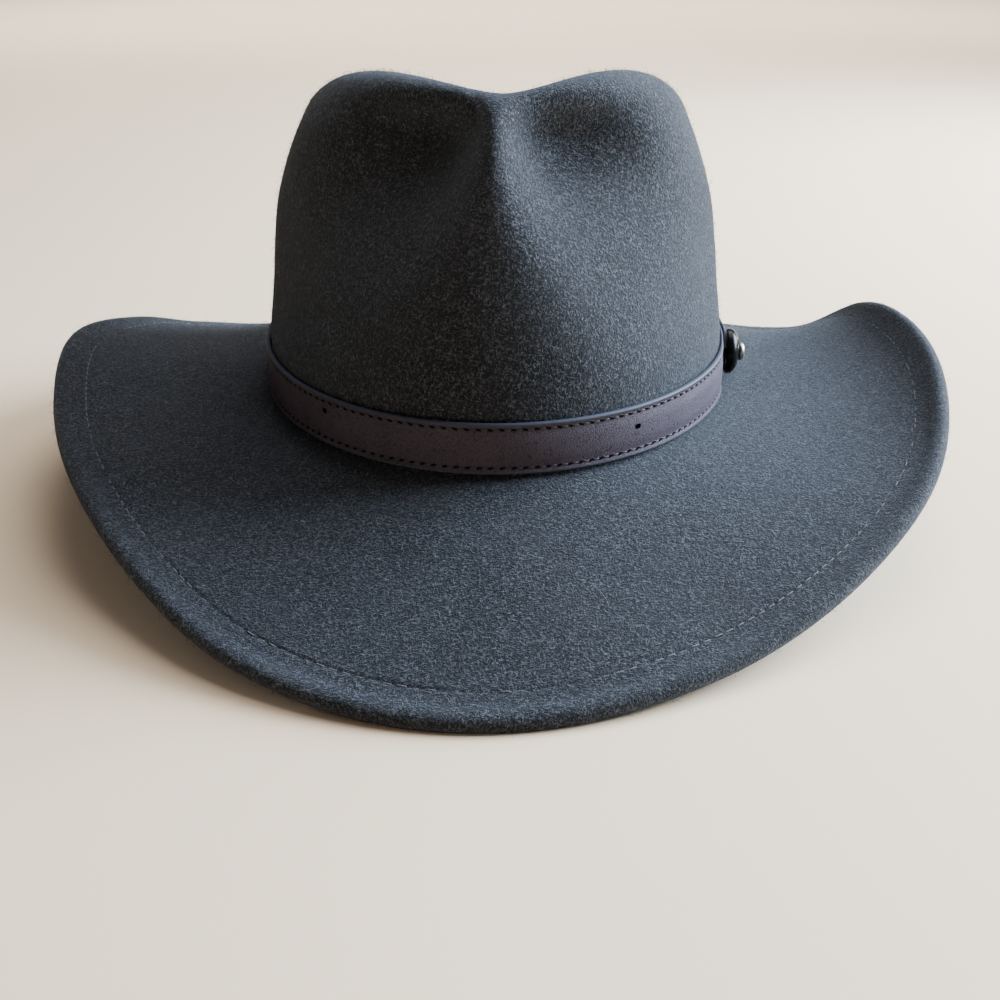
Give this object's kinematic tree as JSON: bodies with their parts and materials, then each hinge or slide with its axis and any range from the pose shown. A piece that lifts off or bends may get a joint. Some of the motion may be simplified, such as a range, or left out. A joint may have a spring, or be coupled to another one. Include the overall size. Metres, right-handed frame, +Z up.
{
  "type": "outback hat",
  "caption": "Dark wool-felt outback hat with a pinched crown, a curled brim with a folded edge, and a leather band closed by a button.",
  "frame": {"origin": "under the middle of the hat, on the surface that its brim rests on", "axes": "+Z up through the crown, -Y to the front of the hat, +X to the viewer's right when the hat is seen from the front"},
  "size_m": [0.3282, 0.367, 0.144],
  "materials": {
    "felt": "napped wool felt",
    "band_leather": "semi-matt, fine grain, stitched, with painted edges",
    "button_gloss": "glossy",
    "stud_metal": "bright, lightly worn"
  },
  "bodies": {
    "root": {"felt_body": "felt", "hat_band": "band_leather", "band_button": "button_gloss", "button_stud": "stud_metal"}
  },
  "joints": []
}
